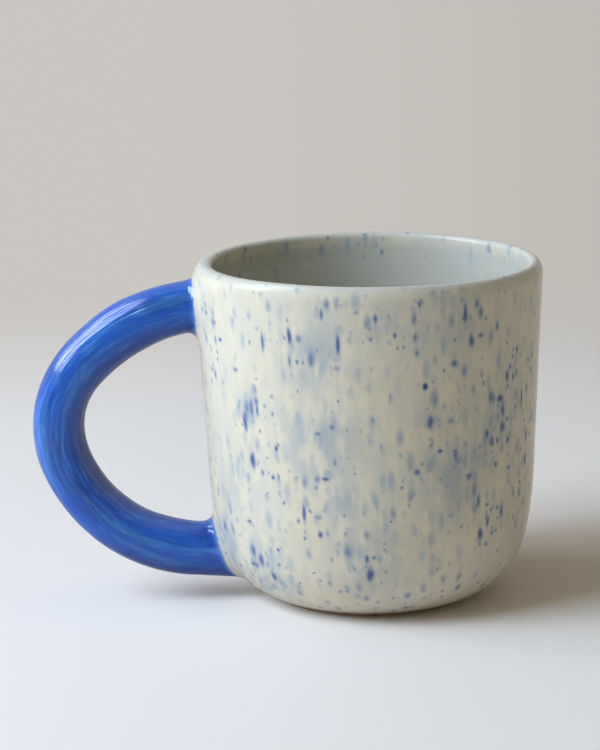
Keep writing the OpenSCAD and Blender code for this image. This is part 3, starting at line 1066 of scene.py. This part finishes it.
class Joint:
    """A joint's collar: how it runs from the handle onto the wall, on the loop's side and away from it"""

    def __init__(self, name, node, root, heading, collar, loop_turn, path_end):
        self.name, self.node, self.collar, self.loop_turn = name, node, collar, loop_turn
        self.base = upright(root)
        self.out = upright(heading_vector(heading))
        self.up = upright(heading_vector(heading + math.pi / 2))
        self.path_end = path_end

    def way(self, turn):
        return math.cos(turn) * self.up + math.sin(turn) * Vector((0, 1, 0))

    def on_wall(self, lines, turn, radius):
        """Where a line beside the handle meets the glazed wall"""
        p = self.base + radius * self.way(turn)
        low, high = -26 * MM, 26 * MM
        for step in range(32):
            mid = (low + high) / 2
            q = p + mid * self.out
            if math.hypot(q.x, q.y) > lines.wall_radius(q.z):
                high = mid
            else:
                low = mid
        return p + (low + high) / 2 * self.out

    def rings(self, lines, handle, glaze, away, loop, swollen):
        """Rings from the handle's surface over fillet and pad to the wall, and back under them.
        The pad is swollen by a rise and a reach at the handle's sides."""
        lower = self.path_end > 0

        def bar_turn(turn):
            return math.pi - turn if lower else turn

        def radius(turn):
            s = self.path_end - self.collar if lower else self.collar
            return handle.radius + swell(s, bar_turn(turn))

        def sizes(turn):
            share = (1 + math.cos(turn - self.loop_turn)) / 2
            beside = math.sin(turn) ** 2
            return [a + (b - a) * share + c * beside for a, b, c in zip(away, loop, (0, 0, *swollen, 0))]

        def along(turn, p):
            distance = (p - self.base).dot(self.out)
            return bar_place(handle, self.path_end - distance if lower else distance, bar_turn(turn))

        def start(turn):
            p = self.base + radius(turn) * self.way(turn) + self.collar * self.out
            return p, 1.0, along(turn, p)

        def fillet(t):
            def ring(turn):
                leg, width, proud, reach, blue_end = sizes(turn)
                p = self.on_wall(lines, turn, radius(turn) + width * (1 - math.cos(t)))
                p += (proud + (leg - proud) * (1 - math.sin(t))) * self.out
                return p, 1 - smooth((t / (math.pi / 2) - blue_end) / 0.6 + 0.5), along(turn, p)
            return ring

        def pad(u, sink):
            def ring(turn):
                leg, width, proud, reach, blue_end = sizes(turn)
                p = self.on_wall(lines, turn, radius(turn) + width + (reach - width) * u)
                p += (proud * (1 + math.cos(math.pi * u)) / 2 - sink) * self.out
                return p, 0.0, along(turn, p)
            return ring

        def under(turn):
            p = self.on_wall(lines, turn, handle.radius - glaze) - 0.3 * MM * self.out
            return p, 0.0, along(turn, p)

        def end(turn):
            p = self.base + (handle.radius - glaze) * self.way(turn) + self.collar * self.out
            return p, 1.0, along(turn, p)

        bends = [fillet(math.pi / 2 * i / 12) for i in range(13)]
        pads = [pad(i / 9, 0.14 * MM * (i / 9) ** 3) for i in range(1, 10)]
        return [start, *bends, *pads, under, end]


class MUG_OT_joints(bpy.types.Operator):
    """Works the collars of clay where the handle meets the wall"""

    bl_idname = "mug.joints"
    bl_label = "Joints"

    def execute(self, context):
        cup, handle = context.scene.mug_cup, context.scene.mug_handle
        lines = CupLines(cup)
        length_all = handle_length()
        lower_root = handle_place(length_all)[0]
        material = joint_material(context.scene.mug_glaze)
        upper = Joint("upper_pad", "upper_joint", UPPER_ROOT, UPPER_LEAN, handle.upper_collar, math.pi, 0)
        lower = Joint("lower_pad", "lower_joint", lower_root, LOWER_LEAN, handle.lower_collar, 0, length_all)
        # Away from the loop and on its side: the fillet's length on the handle and its width on the wall,
        # the pad's rise and reach, and where on the fillet the blue ends; then the pad's added rise and reach
        shapes = (
            (
                upper,
                (2.6 * MM, 0.8 * MM, 0.3 * MM, 3.0 * MM, 0.55),
                (3.4 * MM, 3.2 * MM, 0.3 * MM, 6.0 * MM, 0.6),
                (0.8 * MM, 1.2 * MM),
            ),
            (
                lower,
                (3.4 * MM, 1.3 * MM, 0.3 * MM, 2.2 * MM, 0.25),
                (4.2 * MM, 3.4 * MM, 0.3 * MM, 6.0 * MM, 0.6),
                (0.2 * MM, 0.4 * MM),
            ),
        )
        for joint, away, loop, swollen in shapes:
            bm = loft(handle.sides, joint.rings(lines, handle, cup.glaze, away, loop, swollen))
            glaze_attributes(bm)
            make_piece(joint.name, bm, material, "joint_glaze", joint.node)
        return {"FINISHED"}


# Stage

def camera_matrix(stage):
    """The camera's place and turn, with the mug set off to the right and below the middle of the view"""
    d, rise, focal = stage.camera_distance, stage.camera_height, stage.camera_focal
    right = Vector((-TOWARD.y, TOWARD.x, 0))
    place = MIDDLE + d * (math.cos(rise) * TOWARD + Vector((0, 0, math.sin(rise))))
    ahead = (MIDDLE - place).normalized()
    up = right.cross(ahead)
    ahead = (focal * ahead - VIEW_SHIFT.x * right + VIEW_SHIFT.y * up).normalized()
    right = ahead.cross(Vector((0, 0, 1))).normalized()
    up = right.cross(ahead)
    c, s = math.cos(stage.camera_roll), math.sin(stage.camera_roll)
    right, up = c * right + s * up, c * up - s * right
    turn = Matrix((right, up, -ahead)).transposed().to_4x4()
    return Matrix.Translation(place) @ turn


def seen_rays(tree):
    """1 for rays of the view, and 1 for mirrored ones"""
    path = tree.node("ShaderNodeLightPath").outputs
    viewed = tree.math("ADD", path["Is Camera Ray"], path["Is Transmission Ray"], clamp=True)
    return viewed, path["Is Glossy Ray"]


def floor_material(stage):
    material, tree, shader = new_material("pale_floor")
    place = tree.node("ShaderNodeTexCoord").outputs["Object"]
    away = tree.node("ShaderNodeVectorMath", {0: place}, operation="LENGTH").outputs["Value"]
    far = tree.ease(away, 0.20, 0.46)
    grain = tree.noise(place, 220.0, 3.0, 0.6)
    rough = tree.span(grain, 0.2, 0.8, 0.55, 0.75)
    tree.fill(shader, {"Base Color": rgba(stage.floor), "Roughness": rough})
    # The far floor glows with the backdrop's colour for the view, darker on the side away from the window as
    # painted shade. For mirrored rays the near floor glows with the room's colour in front and the backdrop
    # behind: a painted reflection that dims the floor in the glazes and gives them a bright edge where they
    # mirror what lies behind.
    side = tree.dot(place, (-TOWARD.y, TOWARD.x, 0))
    depth = tree.dot(place, -TOWARD)
    reach = tree.math("ADD", depth, stage.camera_distance)
    aside = tree.math("DIVIDE", side, tree.math("MAXIMUM", reach, 0.1))
    shade = tree.mix(tree.ease(aside, -0.08, 0.13), rgba(stage.backdrop), rgba(stage.backdrop_shade))
    viewed, mirrored = seen_rays(tree)
    behind = tree.ease(depth, -0.02, 0.1)
    shade = tree.mix(mirrored, shade, tree.mix(behind, rgba(stage.room), shade))
    glow = tree.node("ShaderNodeEmission", {"Color": shade, "Strength": 1.0})
    mirrored = tree.times(mirrored, tree.math("MAXIMUM", far, tree.span(behind, 0, 1, 0.6, 1.0)))
    share = tree.math("ADD", tree.times(far, viewed), mirrored, clamp=True)
    both = tree.node("ShaderNodeMixShader", {0: share, 1: shader.outputs[0], 2: glow.outputs[0]})
    tree.fill(material.node_tree.nodes["Material Output"], {"Surface": both.outputs[0]})
    return material


def add_lamp(stage, name):
    """One of the stage's lamps: the window only glints on the glazes, the others light without a glint"""
    lamp = bpy.data.lights.new(name, "AREA")
    lamp.shape = "RECTANGLE"
    lamp.size, lamp.size_y = getattr(stage, name + "_size")
    lamp.energy = getattr(stage, name + "_power")
    lamp.color = getattr(stage, name)
    place = Vector(getattr(stage, name + "_place"))
    aim = (MIDDLE - place).to_track_quat("-Z", "Y")
    light = add_object(name, lamp)
    light.matrix_world = Matrix.Translation(place) @ aim.to_matrix().to_4x4()
    light.visible_diffuse = name != "window"
    light.visible_glossy = name == "window"


def room_world(stage):
    """The room's fill, with the backdrop where the view or a mirrored ray meets it"""
    world = bpy.data.worlds.new("room")
    world.use_nodes = True
    tree = Tree(world.node_tree)
    nodes = world.node_tree.nodes
    room = nodes["Background"]
    tree.fill(room, {"Color": rgba(stage.fill), "Strength": stage.fill_strength})
    viewed, mirrored = seen_rays(tree)
    behind = tree.dot(tree.node("ShaderNodeTexCoord").outputs["Generated"], -TOWARD)
    mirror = tree.mix(tree.ease(behind, -0.1, 0.35), rgba(stage.room), rgba(stage.backdrop))
    shade = tree.mix(mirrored, rgba(stage.backdrop), mirror)
    seen = tree.node("ShaderNodeBackground", {"Color": shade, "Strength": 1.0})
    share = tree.math("ADD", viewed, mirrored, clamp=True)
    both = tree.node("ShaderNodeMixShader", {0: share, 1: room.outputs[0], 2: seen.outputs[0]})
    tree.fill(nodes["World Output"], {"Surface": both.outputs[0]})
    return world


class MUG_OT_stage(bpy.types.Operator):
    """Lays the pale floor and sets the window's light, the room and the camera"""

    bl_idname = "mug.stage"
    bl_label = "Stage"

    def execute(self, context):
        scene, stage = context.scene, context.scene.mug_stage
        bm = bmesh.new()
        bmesh.ops.create_circle(bm, cap_ends=True, cap_tris=True, segments=128, radius=4.0)
        floor = add_mesh("floor", bm, floor_material(stage))
        for name in ("window", "left", "front"):
            add_lamp(stage, name)
        scene.world = room_world(stage)

        data = bpy.data.cameras.new("camera")
        data.sensor_width = 36.0
        data.lens = stage.camera_focal * data.sensor_width / VIEW_SIDE
        camera = add_object("camera", data)
        camera.matrix_world = camera_matrix(stage)
        scene.camera = camera
        scene.view_settings.view_transform = "Standard"
        return {"FINISHED"}


class VIEW3D_PT_mug(bpy.types.Panel):
    """Lists the mug's pieces"""

    bl_label = "Speckled Mug"
    bl_space_type = "VIEW_3D"
    bl_region_type = "UI"
    bl_category = "Mug"

    def draw(self, context):
        for operator in OPERATORS:
            self.layout.operator(operator.bl_idname)
        for name in SETTINGS:
            settings = getattr(context.scene, name)
            box = self.layout.box()
            for key in settings.__annotations__:
                box.prop(settings, key)


SETTINGS = {
    "mug_cup": MugCupSettings,
    "mug_handle": MugHandleSettings,
    "mug_glaze": MugGlazeSettings,
    "mug_stage": MugStageSettings,
}
OPERATORS = (MUG_OT_clay, MUG_OT_cup_coat, MUG_OT_cup_liner, MUG_OT_handle_coat, MUG_OT_joints, MUG_OT_stage)


def register():
    for name, settings in SETTINGS.items():
        bpy.utils.register_class(settings)
        setattr(bpy.types.Scene, name, PointerProperty(type=settings))
    for cls in (*OPERATORS, VIEW3D_PT_mug):
        bpy.utils.register_class(cls)


def unregister():
    for cls in (VIEW3D_PT_mug, *reversed(OPERATORS)):
        bpy.utils.unregister_class(cls)
    for name, settings in reversed(SETTINGS.items()):
        delattr(bpy.types.Scene, name)
        bpy.utils.unregister_class(settings)


def main():
    register()
    bpy.ops.mug.clay()
    bpy.ops.mug.cup_coat()
    bpy.ops.mug.cup_liner()
    bpy.ops.mug.handle_coat()
    bpy.ops.mug.joints()
    bpy.ops.mug.stage()


if __name__ == "__main__":
    main()
